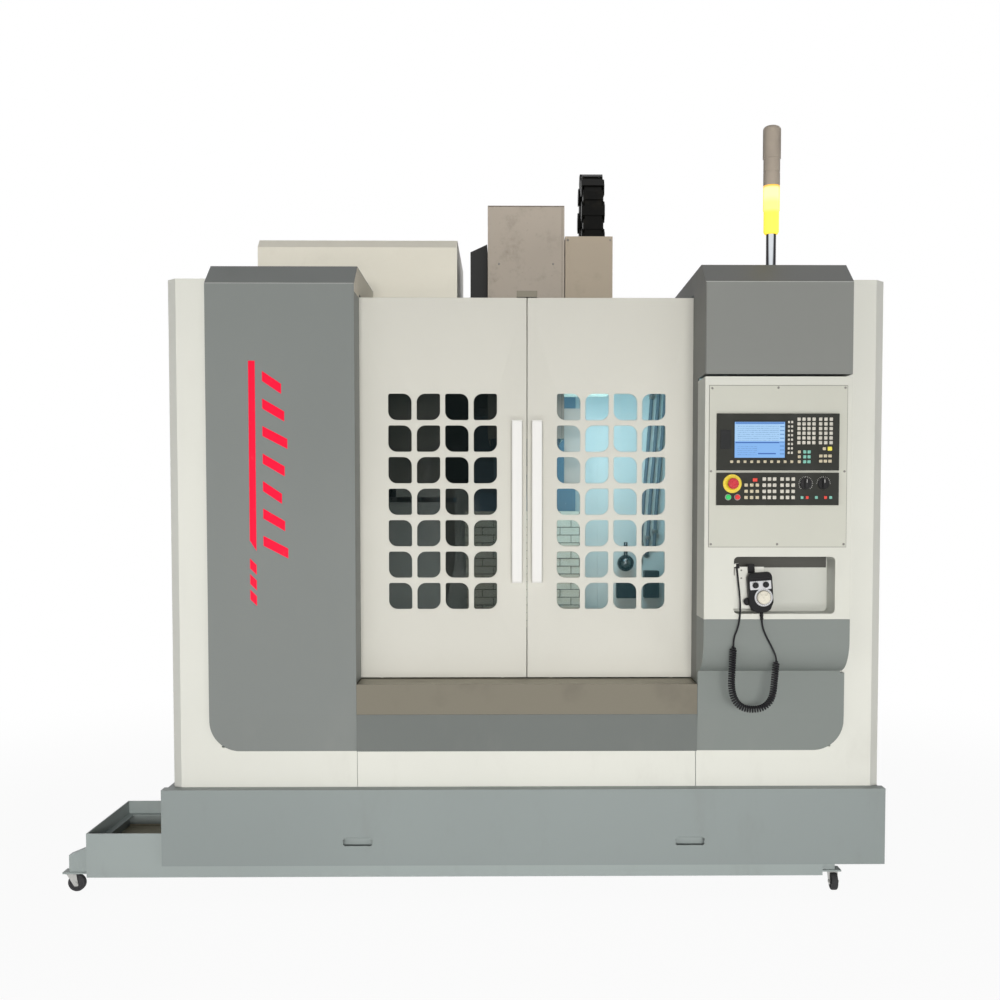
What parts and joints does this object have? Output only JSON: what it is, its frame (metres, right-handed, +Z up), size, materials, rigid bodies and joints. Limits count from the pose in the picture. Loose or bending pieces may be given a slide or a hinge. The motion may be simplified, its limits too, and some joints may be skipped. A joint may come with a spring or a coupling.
{
  "type": "vertical machining center",
  "caption": "Enclosed vertical machining centre with sliding windowed doors, operator console, handheld pendant, tool magazine, coolant tank on casters and rear electrical cabinet.",
  "frame": {"origin": "centre of the underside of the middle front levelling pad, on the floor, in the spindle's plane", "axes": "+X to the right along the table's long travel, +Y from the operator's side into the machine, +Z up along the spindle"},
  "size_m": [3.009, 2.5588, 2.8619],
  "materials": {
    "white_paint": "satin",
    "plate_paint": "satin",
    "door_paint": "satin",
    "grey_paint": "satin",
    "tray_paint": "satin",
    "beige_paint": "satin",
    "dark_paint": "matt",
    "casting_paint": "satin",
    "stainless": "brushed",
    "machined_iron": "ground",
    "steel": "machined",
    "dark_glass": "clear",
    "clear_glass": "clear",
    "dark_panel": "matt",
    "black_plastic": "matt",
    "cord_rubber": "matt",
    "white_plastic": "gloss",
    "red_plastic": "gloss",
    "green_plastic": "gloss",
    "lamp_plastic": "gloss"
  },
  "bodies": {
    "machine": {"bed": "casting_paint", "levelling_feet": "steel", "column": "casting_paint", "axis_drives": "steel", "left_casing": "white_paint", "right_casing": "white_paint", "front_band": "white_paint", "left_pillar": "grey_paint", "right_hood": "grey_paint", "console_housing": "white_paint", "console_plate": "plate_paint", "console_skirt": "grey_paint", "right_lower_cover": "grey_paint", "apron": "grey_paint", "sill": "stainless", "base_tray": "tray_paint", "door_track": "stainless", "nc_unit": "dark_panel", "operator_panel": "dark_panel", "pendant_hanger": "white_paint", "pendant_body": "black_plastic", "cord_upper": "cord_rubber", "cord_coil": "cord_rubber", "cord_lower": "cord_rubber", "magazine_cover": "beige_paint", "magazine_guide": "steel", "tower_light": "lamp_plastic", "electrical_cabinet": "beige_paint"},
    "left_door": {"left_door": "door_paint", "left_window": "dark_glass", "left_handle": "stainless"},
    "right_door": {"right_door": "door_paint", "right_window": "clear_glass", "right_handle": "stainless"},
    "saddle": {"saddle": "machined_iron", "y_way_covers": "stainless"},
    "table": {"table": "machined_iron"},
    "head": {"headstock": "dark_paint", "head_cover": "beige_paint", "junction_box": "dark_paint", "cable_chain": "black_plastic", "z_way_cover": "beige_paint"},
    "spindle": {"spindle": "steel"},
    "magazine_carriage": {"magazine_carriage": "dark_paint"},
    "magazine_disc": {"magazine_disc": "steel"},
    "tank": {"tank": "tray_paint"},
    "cabinet_door": {"cabinet_door": "beige_paint"},
    "caster_1": {"caster_1": "steel"},
    "caster_2": {"caster_2": "steel"},
    "caster_3": {"caster_3": "steel"},
    "caster_4": {"caster_4": "steel"},
    "e_stop": {"e_stop": "red_plastic"},
    "start_button": {"start_button": "green_plastic"},
    "stop_button": {"stop_button": "red_plastic"},
    "feed_knob": {"feed_knob": "black_plastic"},
    "spindle_knob": {"spindle_knob": "black_plastic"},
    "pendant_dial": {"pendant_dial": "white_plastic"},
    "pendant_axis_knob": {"pendant_axis_knob": "black_plastic"},
    "pendant_step_knob": {"pendant_step_knob": "black_plastic"},
    "pendant_button": {"pendant_button": "red_plastic"}
  },
  "joints": [
    {"name": "left_door_slide", "type": "slide", "parent": "machine", "child": "left_door", "axis": [-1, 0, 0], "range_m": [0, 0.54]},
    {"name": "right_door_slide", "type": "slide", "parent": "machine", "child": "right_door", "axis": [1, 0, 0], "range_m": [0, 0.54]},
    {"name": "y_axis", "type": "slide", "parent": "machine", "child": "saddle", "axis": [0, 1, 0], "range_m": [-0.25, 0.25]},
    {"name": "x_axis", "type": "slide", "parent": "saddle", "child": "table", "axis": [1, 0, 0], "range_m": [-0.4, 0.4]},
    {"name": "z_axis", "type": "slide", "parent": "machine", "child": "head", "axis": [0, 0, 1], "range_m": [-0.55, 0], "deforming": ["cable_chain", "z_way_cover"]},
    {"name": "spindle_spin", "type": "hinge", "parent": "head", "child": "spindle", "pos_m": [0, 0.18, 1.56], "axis": [0, 0, 1], "continuous": true},
    {"name": "magazine_slide", "type": "slide", "parent": "machine", "child": "magazine_carriage", "axis": [1, 0, 0], "range_m": [0, 0.34]},
    {"name": "magazine_spin", "type": "hinge", "parent": "magazine_carriage", "child": "magazine_disc", "pos_m": [-0.64, 0.18, 1.44], "axis": [0, 0, 1], "continuous": true},
    {"name": "tank_slide", "type": "slide", "parent": "machine", "child": "tank", "axis": [-1, 0, 0], "range_m": [0, 0.9]},
    {"name": "caster_1_swivel", "type": "hinge", "parent": "tank", "child": "caster_1", "pos_m": [-1.688, -0.53, 0.07], "axis": [0, 0, 1], "continuous": true},
    {"name": "caster_2_swivel", "type": "hinge", "parent": "tank", "child": "caster_2", "pos_m": [-1.688, -0.18, 0.07], "axis": [0, 0, 1], "continuous": true},
    {"name": "caster_3_swivel", "type": "hinge", "parent": "tank", "child": "caster_3", "pos_m": [1.133, -0.53, 0.07], "axis": [0, 0, 1], "continuous": true},
    {"name": "caster_4_swivel", "type": "hinge", "parent": "tank", "child": "caster_4", "pos_m": [1.133, -0.18, 0.07], "axis": [0, 0, 1], "continuous": true},
    {"name": "cabinet_door_hinge", "type": "hinge", "parent": "machine", "child": "cabinet_door", "pos_m": [0.508, 1.7338, 1.21], "axis": [0, 0, -1], "range_deg": [0, 110]},
    {"name": "e_stop_press", "type": "slide", "parent": "machine", "child": "e_stop", "axis": [0, 1, 0], "range_m": [0, 0.006], "stiffness_N_per_m": 300},
    {"name": "start_press", "type": "slide", "parent": "machine", "child": "start_button", "axis": [0, 1, 0], "range_m": [0, 0.004], "stiffness_N_per_m": 300},
    {"name": "stop_press", "type": "slide", "parent": "machine", "child": "stop_button", "axis": [0, 1, 0], "range_m": [0, 0.004], "stiffness_N_per_m": 300},
    {"name": "feed_knob_turn", "type": "hinge", "parent": "machine", "child": "feed_knob", "pos_m": [0.96, -0.765, 1.501], "axis": [0, -1, 0], "range_deg": [-135, 135]},
    {"name": "spindle_knob_turn", "type": "hinge", "parent": "machine", "child": "spindle_knob", "pos_m": [1.022, -0.765, 1.501], "axis": [0, -1, 0], "range_deg": [-90, 90]},
    {"name": "pendant_dial_spin", "type": "hinge", "parent": "machine", "child": "pendant_dial", "pos_m": [0.81517, -0.77, 1.1056], "axis": [0, -1, 0], "continuous": true},
    {"name": "pendant_axis_turn", "type": "hinge", "parent": "machine", "child": "pendant_axis_knob", "pos_m": [0.78616, -0.77, 1.14768], "axis": [0, -1, 0], "range_deg": [-75, 75]},
    {"name": "pendant_step_turn", "type": "hinge", "parent": "machine", "child": "pendant_step_knob", "pos_m": [0.82207, -0.77, 1.15019], "axis": [0, -1, 0], "range_deg": [-45, 45]},
    {"name": "pendant_button_press", "type": "slide", "parent": "machine", "child": "pendant_button", "axis": [0.9976, 0, 0.0698], "range_m": [0, 0.003], "stiffness_N_per_m": 300}
  ]
}
